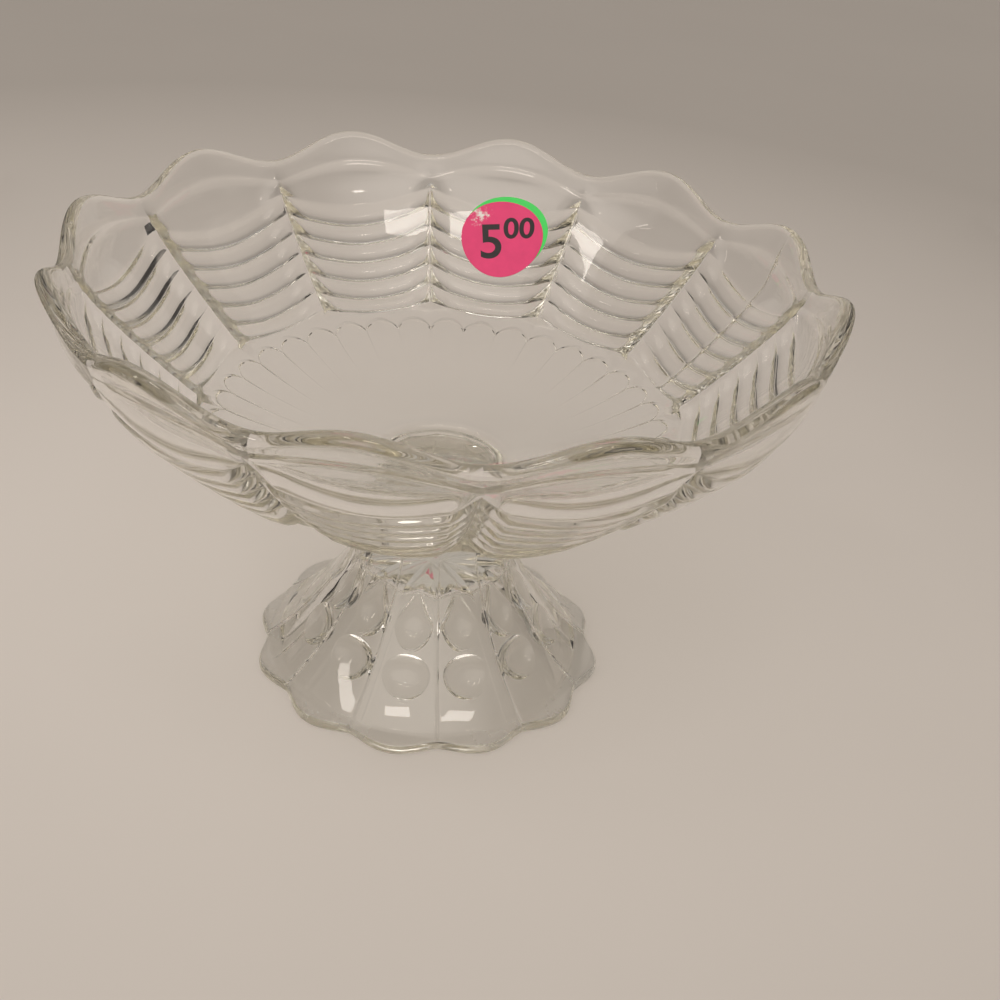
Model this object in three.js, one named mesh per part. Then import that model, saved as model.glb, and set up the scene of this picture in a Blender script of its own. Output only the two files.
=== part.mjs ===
// A footed candy dish of clear pressed glass. A twelve-panelled bowl with a scalloped rim, draped
// ribs and a petal floor is fused at the neck to a hollow flared pedestal. Two round paper price
// labels are stuck, one over the other, on the inside of the bowl.
// Millimetres, +Z up. The origin is the middle of the ring that the pedestal stands on.

import * as THREE from 'three';

// Pattern shared by the bowl and the pedestal
const PANELS = 12;

// Pedestal, outside. The lip's shoulder is given in shares of the way from its edge to the panels
const PEDESTAL_HEIGHT = 57.2;
const NECK_RADIUS = 16.5;
const NECK_BEVEL = 0.5;
const STEM_RADIUS = 17.5;
const STEM_LENGTH = 18.7;
const FLARE_RADIUS = 34;
const FLARE_HEIGHT = 13.5;
const PANEL_CROWN = 0.8;
const FOOT_NOTCH_RADIUS = 46.7;
const FOOT_LOBE = 3.3;
const FOOT_LOBE_FULLNESS = 1.5;
const FOOT_LIP_HEIGHT = 3.5;
const FOOT_EDGE_ROUND = 0.9;
const LIP_SHOULDER_IN = 0.35;
const LIP_SHOULDER_UP = 0.6;

// Pedestal, hollow inside with a round and a drop-shaped boss on every panel.
// A boss's run is measured from the standing ring up the hollow's wall to the boss's middle
const FOOT_RING_WIDTH = 5;
const HOLLOW_WALL = 5;
const HOLLOW_TOP_RADIUS = 19;
const HOLLOW_DOME = 3;
const STEM_SOLID = 25.2;
const BOSS_RELIEF = 1.9;
const ROUND_BOSS_WIDTH = 13.5;
const ROUND_BOSS_LENGTH = 12.5;
const ROUND_BOSS_RUN = 15.5;
const DROP_BOSS_WIDTH = 10.8;
const DROP_BOSS_LENGTH = 15;
const DROP_BOSS_RUN = 30;
const DROP_BOSS_TAPER = 0.5;

// Bowl. Radii and heights are those of its outer wall on the border of two panels,
// with heights above the joint with the pedestal
const JOINT_GAP = 0.3;
const NECK_FILLET = 4;
const STUB_HEIGHT = 3.6;
const DISH_RADIUS = 42;
const DISH_HEIGHT = 8.6;
const FLOOR_RADIUS = 61.8;
const FLOOR_HEIGHT = 17.2;
const RIB_FOOT_RADIUS = 67.9;
const RIB_FOOT_HEIGHT = 21.4;
const RIM_NOTCH_RADIUS = 97;
const RIM_NOTCH_HEIGHT = 58.2;
const RIM_BAND_INSET = 4.1;
const RIM_BAND_HEIGHT = 10;
const RIM_RISE = 7;
const RIM_ROUND = 1.5;
const RIM_THICKNESS = 3.6;
const LIP_DROP = 3.4;
const WALL_THICKNESS = 4.6;
const FLOOR_THICKNESS = 6;
const FLOOR_BULGE = 0.4;
const WALL_BULGE = 1.4;
const RIM_BULGE = 0.3;
const RIBS = 6;
const RIB_RELIEF = 1.0;
const RIB_FOOT_SAG = 4;
const RIB_HEAD_SAG = 7;
const PETALS_PER_PANEL = 3;
const PETAL_RELIEF = 0.6;
const PETAL_LENGTH = 34;
const PETAL_TIP = 3;

// Price labels, placed down from the rim and to the right of the middle of one panel
const LABEL_THICKNESS = 0.25;
const LABEL_SEAT = 0.3;
const LABEL_PANEL = 2;
const LABEL_DROP = 26;
const LABEL_SIDESTEP = 1.3;
const TOP_LABEL_DIAMETER = 25.4;
const UNDER_LABEL_DIAMETER = 25.4;
const UNDER_LABEL_RIGHT = 1.6;
const UNDER_LABEL_UP = 1.5;

// Colours and finish
const GLASS = { color: 0xe6ebe2, roughness: 0.05, metalness: 0, transparent: true, opacity: 0.35 };
const PINK_PAPER = { color: 0xf2307c, roughness: 0.7, metalness: 0 };
const GREEN_PAPER = { color: 0x46e05a, roughness: 0.7, metalness: 0 };

// Columns and rows of points that the surfaces are made of
const COLUMNS_PER_PANEL = 6;
const DOME_ROWS = 4;
const HOLLOW_ROWS = 17;
const OUTSIDE_ROWS = 11;
const FILLET_ROWS = 3;
const PETAL_ROWS = 4;
const RIB_ROW_SHARES = [0, 0.16, 0.5, 0.84];
const BAND_ROWS = 4;
const INNER_ROWS = 15;
const DISH_ROWS = 3;
const LABEL_COLUMNS = 24;
const LABEL_ROWS = 4;
const SAMPLES_PER_SPAN = 50;

const { lerp, clamp } = THREE.MathUtils;
const FULL_TURN = 2 * Math.PI;
const QUARTER_TURN = Math.PI / 2;
const PANEL_ANGLE = FULL_TURN / PANELS;
const COLUMNS = PANELS * COLUMNS_PER_PANEL;

// How far the middle of a quarter-round stays from its square corner, as a share of its radius
const CORNER_INSET = 1 - Math.SQRT1_2;

// 0 on the border of two panels, 1 in the middle of a panel
function swell(turn) {
  return Math.abs(Math.sin(turn * PANELS / 2));
}

// Turn from the middle of the panel that a point lies on
function turnInPanel(turn) {
  const rounding = 1e-9;
  const panel = Math.floor(turn / PANEL_ANGLE + rounding);
  return turn - (panel + 0.5) * PANEL_ANGLE;
}

// Radius of a flat panel as a share of the radius of its border
function flatPanel(turn) {
  return Math.cos(PANEL_ANGLE / 2) / Math.cos(turnInPanel(turn));
}

// Evenly spaced values from first to last, both included
function steps(first, last, count) {
  return Array.from({ length: count + 1 }, (_, index) => lerp(first, last, index / count));
}

function onAxis(height) {
  return new THREE.Vector3(0, 0, height);
}

// One ring of points round the axis, where place(turn) gives a radius and a height
function ring(place) {
  const points = [];
  for (let column = 0; column < COLUMNS; column += 1) {
    const turn = FULL_TURN * column / COLUMNS;
    const [radius, height] = place(turn);
    points.push(new THREE.Vector3(radius * Math.cos(turn), radius * Math.sin(turn), height));
  }
  return points;
}

// Closed skin from one pole, over a stack of rings, to another pole
function skin(startPole, rings, endPole) {
  const columns = rings[0].length;
  const lastRow = rings.length - 1;
  const points = [startPole, ...rings.flat(), endPole];
  const end = points.length - 1;
  const at = (row, column) => 1 + row * columns + column % columns;
  const faces = [];
  for (let column = 0; column < columns; column += 1) {
    const next = column + 1;
    faces.push(0, at(0, next), at(0, column));
    for (let row = 0; row < lastRow; row += 1) {
      faces.push(at(row, column), at(row, next), at(row + 1, next));
      faces.push(at(row, column), at(row + 1, next), at(row + 1, column));
    }
    faces.push(end, at(lastRow, column), at(lastRow, next));
  }
  const geometry = new THREE.BufferGeometry().setFromPoints(points);
  geometry.setIndex(faces);
  geometry.computeVertexNormals();
  return geometry;
}

function piece(name, geometry, finish) {
  const mesh = new THREE.Mesh(geometry, new THREE.MeshStandardMaterial(finish));
  mesh.name = name;
  return mesh;
}

// Pedestal: the hollow runs down to the standing ring, the outside runs up to the neck
const HOLLOW_APEX = PEDESTAL_HEIGHT - STEM_SOLID;
const NECK_EDGE_HEIGHT = PEDESTAL_HEIGHT - NECK_BEVEL;
const HOLLOW_CURVE = new THREE.QuadraticBezierCurve(
  new THREE.Vector2(FOOT_NOTCH_RADIUS - FOOT_RING_WIDTH, 0),
  new THREE.Vector2(FLARE_RADIUS - HOLLOW_WALL, FLARE_HEIGHT),
  new THREE.Vector2(HOLLOW_TOP_RADIUS, HOLLOW_APEX - HOLLOW_DOME),
);
const OUTSIDE_CURVE = new THREE.CubicBezierCurve(
  new THREE.Vector2(FOOT_NOTCH_RADIUS, FOOT_LIP_HEIGHT),
  new THREE.Vector2(FLARE_RADIUS, FLARE_HEIGHT),
  new THREE.Vector2(STEM_RADIUS, NECK_EDGE_HEIGHT - STEM_LENGTH),
  new THREE.Vector2(NECK_RADIUS, NECK_EDGE_HEIGHT),
);

// Height of a lens-shaped boss over the hollow's wall, across and along its panel
function boss(across, along, width, length) {
  const reach = (2 * across / width) ** 2 + (2 * along / length) ** 2;
  return BOSS_RELIEF * Math.max(0, 1 - reach);
}

function bossRelief(run, radius, turn) {
  const across = radius * turnInPanel(turn);
  const pastDrop = run - DROP_BOSS_RUN;
  const narrowing = 1 - DROP_BOSS_TAPER * clamp(2 * pastDrop / DROP_BOSS_LENGTH, 0, 1);
  const round = boss(across, run - ROUND_BOSS_RUN, ROUND_BOSS_WIDTH, ROUND_BOSS_LENGTH);
  const drop = boss(across, pastDrop, DROP_BOSS_WIDTH * narrowing, DROP_BOSS_LENGTH);
  return Math.max(round, drop);
}

function hollowWall(share, turn) {
  const point = HOLLOW_CURVE.getPointAt(share);
  const along = HOLLOW_CURVE.getTangentAt(share);
  const relief = bossRelief(share * HOLLOW_CURVE.getLength(), point.x, turn);
  return [point.x - along.y * relief, point.y + along.x * relief];
}

function outsideWall(share, turn) {
  const point = OUTSIDE_CURVE.getPointAt(share);
  return [point.x * flatPanel(turn) + PANEL_CROWN * swell(turn) * (1 - share), point.y];
}

function footOutline(turn) {
  return FOOT_NOTCH_RADIUS + FOOT_LOBE * swell(turn) ** FOOT_LOBE_FULLNESS;
}

function lipShoulder(turn) {
  const [panelEdge] = outsideWall(0, turn);
  const radius = lerp(footOutline(turn), panelEdge, LIP_SHOULDER_IN);
  return [radius, lerp(FOOT_EDGE_ROUND, FOOT_LIP_HEIGHT, LIP_SHOULDER_UP)];
}

function domeRing(rise) {
  const height = HOLLOW_APEX - HOLLOW_DOME * (1 - Math.sin(rise));
  return ring(() => [HOLLOW_TOP_RADIUS * Math.cos(rise), height]);
}

function makePedestal() {
  const rings = [
    ...steps(QUARTER_TURN, 0, DOME_ROWS).slice(1, -1).map(domeRing),
    ...steps(1, 0, HOLLOW_ROWS).map((share) => ring((turn) => hollowWall(share, turn))),
    ring((turn) => [footOutline(turn) - FOOT_EDGE_ROUND, 0]),
    ring((turn) => [footOutline(turn), FOOT_EDGE_ROUND]),
    ring(lipShoulder),
    ...steps(0, 1, OUTSIDE_ROWS).map((share) => ring((turn) => outsideWall(share, turn))),
    ring((turn) => [NECK_RADIUS * flatPanel(turn) - NECK_BEVEL, PEDESTAL_HEIGHT]),
  ];
  return piece('pedestal', skin(onAxis(HOLLOW_APEX), rings, onAxis(PEDESTAL_HEIGHT)), GLASS);
}

// Bowl: runs are lengths along its outer wall, from the neck to the rim notch
const WALL_STATIONS = [
  [NECK_RADIUS + NECK_FILLET, STUB_HEIGHT],
  [DISH_RADIUS, DISH_HEIGHT],
  [FLOOR_RADIUS, FLOOR_HEIGHT],
  [RIB_FOOT_RADIUS, RIB_FOOT_HEIGHT],
  [RIM_NOTCH_RADIUS - RIM_BAND_INSET, RIM_NOTCH_HEIGHT - RIM_BAND_HEIGHT],
  [RIM_NOTCH_RADIUS, RIM_NOTCH_HEIGHT],
];
const WALL_CURVE = new THREE.CatmullRomCurve3(
  WALL_STATIONS.map(([radius, height]) => new THREE.Vector3(radius, 0, height)),
  false,
  'centripetal',
);
WALL_CURVE.arcLengthDivisions = SAMPLES_PER_SPAN * (WALL_STATIONS.length - 1);
const RUNS = WALL_STATIONS.map((_, station) => WALL_CURVE.getLengths()[station * SAMPLES_PER_SPAN]);
const [, , FLOOR_RUN, RIB_FOOT_RUN, RIB_HEAD_RUN, RIM_RUN] = RUNS;

// Value at a run along the wall, given at its stations
function alongWall(run, values) {
  const past = RUNS.findIndex((station) => station > run);
  if (past < 0) {
    return values[values.length - 1];
  }
  const span = RUNS[past] - RUNS[past - 1];
  return lerp(values[past - 1], values[past], (run - RUNS[past - 1]) / span);
}

function bulge(run) {
  return alongWall(run, [0, 0, FLOOR_BULGE, WALL_BULGE, WALL_BULGE, RIM_BULGE]);
}

function thickness(run) {
  const floor = [FLOOR_THICKNESS, FLOOR_THICKNESS, FLOOR_THICKNESS];
  return alongWall(run, [...floor, WALL_THICKNESS, WALL_THICKNESS, WALL_THICKNESS]);
}

// Point of the outer wall at a run and a turn, raised out of the wall by relief
function wall(run, turn, relief) {
  const share = clamp(run / RIM_RUN, 0, 1);
  const along = WALL_CURVE.getTangentAt(share);
  const point = WALL_CURVE.getPointAt(share).addScaledVector(along, run - share * RIM_RUN);
  const out = bulge(run) * swell(turn) + relief;
  return [point.x + along.z * out, point.z - along.x * out];
}

function innerWall(run, turn, depth) {
  return wall(run, turn, -thickness(run) - depth);
}

// Run in mid panel of a line that starts on the border: ribs sag there and the rim rises
function draped(run, turn) {
  const sag = alongWall(run, [0, 0, 0, RIB_FOOT_SAG, RIB_HEAD_SAG, 0]);
  const lift = alongWall(run, [0, 0, 0, 0, 0, RIM_RISE]);
  return run - sag * swell(turn) + lift * swell(turn) ** 2;
}

function ribRelief(share) {
  return RIB_RELIEF * Math.sqrt(Math.max(0, 1 - (2 * share - 1) ** 2));
}

function petalRelief(turn) {
  return PETAL_RELIEF * Math.abs(Math.sin(turn * PANELS * PETALS_PER_PANEL / 2));
}

function filletRing(rise) {
  const radius = NECK_RADIUS + NECK_FILLET * (1 - Math.cos(rise));
  return ring(() => [radius, lerp(NECK_BEVEL, STUB_HEIGHT, Math.sin(rise))]);
}

function stubRings() {
  return [
    ring(() => [NECK_RADIUS - NECK_BEVEL, 0]),
    ...steps(0, QUARTER_TURN, FILLET_ROWS).slice(0, -1).map(filletRing),
    ring((turn) => wall(0, turn, 0)),
  ];
}

function petalRings() {
  const inner = FLOOR_RUN - PETAL_LENGTH;
  const runs = steps(inner + PETAL_TIP, FLOOR_RUN - PETAL_TIP, PETAL_ROWS);
  return [
    ring((turn) => wall(inner, turn, 0)),
    ...runs.map((run) => ring((turn) => wall(run, turn, petalRelief(turn)))),
    ring((turn) => wall(FLOOR_RUN, turn, 0)),
  ];
}

function ribRings() {
  const rings = [];
  const pitch = (RIB_HEAD_RUN - RIB_FOOT_RUN) / RIBS;
  for (let rib = 0; rib < RIBS; rib += 1) {
    for (const share of RIB_ROW_SHARES) {
      const run = RIB_FOOT_RUN + pitch * (rib + share);
      rings.push(ring((turn) => wall(draped(run, turn), turn, ribRelief(share))));
    }
  }
  return rings;
}

function bandRings() {
  const runs = steps(RIB_HEAD_RUN, RIM_RUN, BAND_ROWS).slice(0, -1);
  return runs.map((run) => ring((turn) => wall(draped(run, turn), turn, 0)));
}

// The rim's section goes over its top with both edges rounded: drop from the top, depth into the wall
function rimRings() {
  const corner = RIM_ROUND * CORNER_INSET;
  const section = [
    [RIM_ROUND, 0],
    [corner, corner],
    [0, RIM_ROUND],
    [0, RIM_THICKNESS - RIM_ROUND],
    [corner, RIM_THICKNESS - corner],
    [RIM_ROUND, RIM_THICKNESS],
  ];
  const place = (turn, drop, depth) => wall(draped(RIM_RUN, turn) - drop, turn, -depth);
  return section.map(([drop, depth]) => ring((turn) => place(turn, drop, depth)));
}

function innerRings() {
  const runs = steps(RIM_RUN - LIP_DROP, 0, INNER_ROWS);
  return runs.map((run) => ring((turn) => innerWall(run, turn, 0)));
}

// Inside, the floor carries on from the wall's slope to a level middle
function dishHeight(share) {
  const along = WALL_CURVE.getTangentAt(0);
  const [edgeRadius, edgeHeight] = innerWall(0, 0, 0);
  return edgeHeight - along.z / along.x * edgeRadius * (1 - share ** 2) / 2;
}

function dishRings() {
  const [edgeRadius] = innerWall(0, 0, 0);
  const shares = steps(1, 0, DISH_ROWS).slice(1, -1);
  return shares.map((share) => ring(() => [edgeRadius * share, dishHeight(share)]));
}

function makeBowl() {
  const rings = [
    ...stubRings(),
    ...petalRings(),
    ...ribRings(),
    ...bandRings(),
    ...rimRings(),
    ...innerRings(),
    ...dishRings(),
  ];
  return piece('bowl', skin(onAxis(0), rings, onAxis(dishHeight(0))), GLASS);
}

// A round label laid on the inside of the wall, a depth inside the glass
function makeLabel(name, finish, diameter, right, up, depth) {
  const middleTurn = (LABEL_PANEL + 0.5) * PANEL_ANGLE;
  const middleRun = RIM_RUN - LABEL_DROP + up;
  const [middleRadius] = innerWall(middleRun, middleTurn, depth);
  const place = (radius, angle, lift) => {
    const turn = middleTurn - (right + radius * Math.cos(angle)) / middleRadius;
    const [reach, height] = innerWall(middleRun + radius * Math.sin(angle), turn, depth + lift);
    return new THREE.Vector3(reach * Math.cos(turn), reach * Math.sin(turn), height);
  };
  const circle = (radius, lift) => Array.from(
    { length: LABEL_COLUMNS },
    (_, column) => place(radius, FULL_TURN * column / LABEL_COLUMNS, lift),
  );
  const radii = steps(0, diameter / 2, LABEL_ROWS).slice(1);
  const back = radii.map((radius) => circle(radius, 0));
  const front = radii.toReversed().map((radius) => circle(radius, LABEL_THICKNESS));
  const geometry = skin(place(0, 0, 0), [...back, ...front], place(0, 0, LABEL_THICKNESS));
  return piece(name, geometry, finish);
}

function makeUnderLabel() {
  const right = LABEL_SIDESTEP + UNDER_LABEL_RIGHT;
  return makeLabel('under_label', GREEN_PAPER, UNDER_LABEL_DIAMETER, right, UNDER_LABEL_UP, LABEL_SEAT);
}

function makeTopLabel() {
  const depth = LABEL_SEAT + LABEL_THICKNESS + LABEL_SEAT;
  return makeLabel('top_label', PINK_PAPER, TOP_LABEL_DIAMETER, LABEL_SIDESTEP, 0, depth);
}

const labelledBowl = new THREE.Group();
labelledBowl.position.z = PEDESTAL_HEIGHT + JOINT_GAP;
labelledBowl.add(makeBowl(), makeUnderLabel(), makeTopLabel());

const dish = new THREE.Group();
dish.add(makePedestal(), labelledBowl);

export default dish;
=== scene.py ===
# %% [markdown]
# A footed candy dish of pressed glass
#
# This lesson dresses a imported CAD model. The dish is two glass pressings fused at the neck, a
# twelve-panelled bowl and a hollow pedestal, with two paper price labels stuck inside the bowl.
# The CAD solids give every place and size, so they are loaded first and never moved. Each one is then
# replaced by a finer mesh that follows the same rule, because glass shows every facet.

# %% Load the frame
import math

import bpy
import numpy as np
from mathutils import Matrix, Vector


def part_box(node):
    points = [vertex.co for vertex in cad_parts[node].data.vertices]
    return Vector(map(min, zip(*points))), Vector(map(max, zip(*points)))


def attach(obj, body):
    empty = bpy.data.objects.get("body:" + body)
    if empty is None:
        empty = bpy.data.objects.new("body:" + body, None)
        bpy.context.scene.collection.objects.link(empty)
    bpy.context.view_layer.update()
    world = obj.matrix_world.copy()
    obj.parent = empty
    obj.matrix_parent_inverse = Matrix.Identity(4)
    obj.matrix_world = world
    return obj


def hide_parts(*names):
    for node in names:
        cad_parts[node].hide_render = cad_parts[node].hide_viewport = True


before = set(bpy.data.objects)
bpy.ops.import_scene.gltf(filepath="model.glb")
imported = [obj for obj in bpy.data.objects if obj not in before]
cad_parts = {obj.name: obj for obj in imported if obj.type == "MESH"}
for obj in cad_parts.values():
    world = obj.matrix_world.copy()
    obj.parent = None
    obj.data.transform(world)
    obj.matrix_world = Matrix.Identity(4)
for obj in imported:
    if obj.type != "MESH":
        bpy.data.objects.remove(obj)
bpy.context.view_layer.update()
MM = 0.001
for node in sorted(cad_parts):
    low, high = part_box(node)
    print(node, [round(size / MM, 1) for size in high - low], "mm")

# %% [markdown]
# The camera
#
# A camera can be placed by eye, or by its angles and its distance. Angles are kept here, because they
# say how the dish is seen: from in front, a little from the left, looking down at about a third of a
# right angle, with the camera rolled slightly. The three directions of the camera are worked out from
# these angles and become the columns of its matrix.

# %% Camera
CAMERA_EYE = Vector((-29.7, -313.4, 246.0)) * MM
CAMERA_AZIMUTH = math.radians(-8.57)
CAMERA_ELEVATION = math.radians(31.75)
CAMERA_ROLL = math.radians(-5.45)
CAMERA_LENS_MM = 48.2
CAMERA_NEAR = 10.0


def camera_matrix(eye, azimuth, elevation, roll):
    level = math.cos(elevation)
    back = Vector((math.sin(azimuth) * level, -math.cos(azimuth) * level, math.sin(elevation)))
    right = Vector((math.cos(azimuth), math.sin(azimuth), 0))
    up = back.cross(right)
    across = right * math.cos(roll) - up * math.sin(roll)
    upright = right * math.sin(roll) + up * math.cos(roll)
    turned = Matrix((across, upright, back)).transposed()
    return Matrix.Translation(eye) @ turned.to_4x4()


camera = bpy.data.objects.new("camera", bpy.data.cameras.new("camera"))
camera.data.lens = CAMERA_LENS_MM
camera.data.clip_start = CAMERA_NEAR * MM
camera.matrix_world = camera_matrix(CAMERA_EYE, CAMERA_AZIMUTH, CAMERA_ELEVATION, CAMERA_ROLL)
bpy.context.scene.collection.objects.link(camera)
bpy.context.scene.camera = camera
print("camera at", [round(value / MM) for value in CAMERA_EYE], "mm")

# %% [markdown]
# Helpers
#
# A material or a shape tree is a list of nodes and of links between them. Short helpers make a node
# with its settings, join two sockets, spread one range of values over another and start a material, so
# that each tree below reads as a recipe. One more puts a new object into the scene.

# %% Helpers
UNIT = (0.0, 1.0)


def add_node(tree, kind, **settings):
    node = tree.nodes.new(kind)
    for name, value in settings.items():
        if name in node.inputs:
            node.inputs[name].default_value = value
        else:
            setattr(node, name.lower(), value)
    return node


def join(tree, start, output, end, entry):
    tree.links.new(start.outputs[output], end.inputs[entry])


def add_range(tree, span=UNIT, result=UNIT, interpolation="LINEAR"):
    node = add_node(tree, "ShaderNodeMapRange", interpolation_type=interpolation)
    for name, value in zip(("From Min", "From Max", "To Min", "To Max"), (*span, *result)):
        node.inputs[name].default_value = value
    return node


def new_material(name):
    material = bpy.data.materials.new(name)
    material.use_nodes = True
    tree = material.node_tree
    return material, tree, tree.nodes["Principled BSDF"]


def add_object(name, data):
    thing = bpy.data.objects.new(name, data)
    bpy.context.scene.collection.objects.link(thing)
    return thing


def group_sockets(tree, inputs, outputs):
    for name, kind, value in inputs:
        socket = tree.interface.new_socket(name, in_out="INPUT", socket_type=kind)
        if value is not None:
            socket.default_value = value
    for name, kind in outputs:
        tree.interface.new_socket(name, in_out="OUTPUT", socket_type=kind)


print("helpers for nodes, materials and objects")

# %% [markdown]
# Pressed-glass surface
#
# Glass that was pressed and fire-polished isn't optically flat. It has long, very shallow ripples from
# the mould, and here and there a smudge of handling. Both vary over the surface, so they are made from
# noise in a shader group: Ripple is a height for a Bump node, Smudge a share for the roughness.

# %% Ripple group
SMUDGE_SPAN = (0.4, 0.75)


def pressed_ripple_group():
    tree = bpy.data.node_groups.new("pressed_ripple", "ShaderNodeTree")
    group_sockets(
        tree,
        [
            ("Vector", "NodeSocketVector", None),
            ("Ripple Scale", "NodeSocketFloat", None),
            ("Smudge Scale", "NodeSocketFloat", None),
        ],
        [("Ripple", "NodeSocketFloat"), ("Smudge", "NodeSocketFloat")],
    )
    source = add_node(tree, "NodeGroupInput")
    result = add_node(tree, "NodeGroupOutput")
    ripple = add_node(tree, "ShaderNodeTexNoise", Detail=1.5, Roughness=0.4)
    smudge = add_node(tree, "ShaderNodeTexNoise", Detail=5.0, Roughness=0.6)
    smudge_range = add_range(tree, SMUDGE_SPAN)
    join(tree, source, "Vector", ripple, "Vector")
    join(tree, source, "Ripple Scale", ripple, "Scale")
    join(tree, source, "Vector", smudge, "Vector")
    join(tree, source, "Smudge Scale", smudge, "Scale")
    join(tree, smudge, "Fac", smudge_range, "Value")
    join(tree, ripple, "Fac", result, "Ripple")
    join(tree, smudge_range, "Result", result, "Smudge")
    return tree


PRESSED_RIPPLE = pressed_ripple_group()
print("group", PRESSED_RIPPLE.name)

# %% [markdown]
# Clear glass
#
# The glass is clear with a trace of yellow-green that only shows where light runs a long way inside it,
# as in the rim and along the panel borders. A tinted surface would colour thin and thick glass alike,
# so the tint is an absorbing volume. What the camera sees is refracted. Light that falls through glass on
# to the floor is found slowly by a path tracer, so shadow rays and diffuse rays go straight through a pale
# transparent shader instead. Worn places, marked by an attribute, are hazier.

# %% Clear glass
GLASS_IOR = 1.5
GLASS_ABSORPTION = (0.865, 0.84, 0.745, 1.0)
GLASS_DENSITY = 17.0
CLEAR_HAZE = 0.06
WORN_HAZE = 0.9
GLASS_SHADOW = (0.86, 0.86, 0.85, 1)
RIPPLE_SCALE = 90.0
RIPPLE_STRENGTH = 0.25
RIPPLE_DEPTH = 0.3
SMUDGE_SCALE = 30.0


def clear_glass_material():
    material, tree, shader = new_material("clear_glass")
    output = tree.nodes["Material Output"]
    shader.inputs["Base Color"].default_value = (1, 1, 1, 1)
    shader.inputs["Transmission Weight"].default_value = 1.0
    shader.inputs["IOR"].default_value = GLASS_IOR
    place = add_node(tree, "ShaderNodeTexCoord")
    ripple = add_node(tree, "ShaderNodeGroup")
    ripple.node_tree = PRESSED_RIPPLE
    ripple.inputs["Ripple Scale"].default_value = RIPPLE_SCALE
    ripple.inputs["Smudge Scale"].default_value = SMUDGE_SCALE
    bump = add_node(tree, "ShaderNodeBump", Strength=RIPPLE_STRENGTH, Distance=RIPPLE_DEPTH * MM)
    rough_place = add_node(tree, "ShaderNodeAttribute", attribute_name="worn")
    haze = add_range(tree, result=(CLEAR_HAZE, WORN_HAZE))
    smudged = add_node(tree, "ShaderNodeMath", operation="MULTIPLY")
    join(tree, place, "Object", ripple, "Vector")
    join(tree, ripple, "Ripple", bump, "Height")
    join(tree, bump, "Normal", shader, "Normal")
    join(tree, rough_place, "Fac", haze, "Value")
    join(tree, ripple, "Smudge", smudged, 0)
    join(tree, haze, "Result", smudged, 1)
    join(tree, smudged, 0, shader, "Roughness")
    absorb = add_node(tree, "ShaderNodeVolumeAbsorption", Color=GLASS_ABSORPTION, Density=GLASS_DENSITY)
    join(tree, absorb, "Volume", output, "Volume")
    path = add_node(tree, "ShaderNodeLightPath")
    lighting = add_node(tree, "ShaderNodeMath", operation="MAXIMUM")
    straight = add_node(tree, "ShaderNodeBsdfTransparent", Color=GLASS_SHADOW)
    surface = add_node(tree, "ShaderNodeMixShader")
    join(tree, path, "Is Shadow Ray", lighting, 0)
    join(tree, path, "Is Diffuse Ray", lighting, 1)
    join(tree, lighting, 0, surface, "Fac")
    join(tree, shader, "BSDF", surface, 1)
    join(tree, straight, "BSDF", surface, 2)
    join(tree, surface, "Shader", output, "Surface")
    return material


CLEAR_GLASS = clear_glass_material()
print("material", CLEAR_GLASS.name)

# %% [markdown]
# Price-label paper
#
# The labels are cheap fluorescent paper. Seen close, such paper has fibres, a slight unevenness of the
# dye and scuffs where it was rubbed. Both labels share one group for this: it gives the mix of dye and
# bare paper, and a height for the fibres.

# %% Paper group
SCUFFED_PAPER = (0.8, 0.78, 0.75, 1)
MOTTLE = (0.86, 1.08)
FLAKE_SPAN = (0.98, 1.1)


def paper_group():
    tree = bpy.data.node_groups.new("price_label_paper", "ShaderNodeTree")
    group_sockets(
        tree,
        [
            ("Vector", "NodeSocketVector", None),
            ("Dye", "NodeSocketColor", None),
            ("Bare Paper", "NodeSocketColor", SCUFFED_PAPER),
            ("Scuff", "NodeSocketFloat", None),
        ],
        [("Color", "NodeSocketColor"), ("Fibre", "NodeSocketFloat")],
    )
    source = add_node(tree, "NodeGroupInput")
    result = add_node(tree, "NodeGroupOutput")
    fibre = add_node(tree, "ShaderNodeTexNoise", Scale=2200.0, Detail=4.0, Roughness=0.7)
    mottle = add_node(tree, "ShaderNodeTexNoise", Scale=260.0, Detail=3.0, Roughness=0.6)
    mottle_range = add_range(tree, result=MOTTLE)
    dyed = add_node(tree, "ShaderNodeMix", data_type="RGBA", blend_type="MULTIPLY")
    dyed.inputs["Factor"].default_value = 1.0
    flakes = add_node(tree, "ShaderNodeTexNoise", Scale=700.0, Detail=6.0, Roughness=0.75)
    flake_edge = add_node(tree, "ShaderNodeMath", operation="ADD")
    flake_mask = add_range(tree, FLAKE_SPAN)
    worn = add_node(tree, "ShaderNodeMix", data_type="RGBA")
    for texture in (fibre, mottle, flakes):
        join(tree, source, "Vector", texture, "Vector")
    join(tree, mottle, "Fac", mottle_range, "Value")
    join(tree, source, "Dye", dyed, "A")
    join(tree, mottle_range, "Result", dyed, "B")
    join(tree, flakes, "Fac", flake_edge, 0)
    join(tree, source, "Scuff", flake_edge, 1)
    join(tree, flake_edge, 0, flake_mask, "Value")
    join(tree, flake_mask, "Result", worn, "Factor")
    join(tree, dyed, "Result", worn, "A")
    join(tree, source, "Bare Paper", worn, "B")
    join(tree, worn, "Result", result, "Color")
    join(tree, fibre, "Fac", result, "Fibre")
    return tree


PAPER = paper_group()
print("group", PAPER.name)

# %% [markdown]
# The rule of twelve
#
# Bowl and foot share one pattern: twelve equal panels round the axis. Only one panel is worked out, as
# rows of points from pole to pole, and Geometry Nodes turn it round the axis. The columns crowd together
# at the borders of the panels and of the petals, because a sharp crease needs narrow faces beside it.
# Two more columns hold the middle of the panel, where the halves of the mould met.

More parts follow.
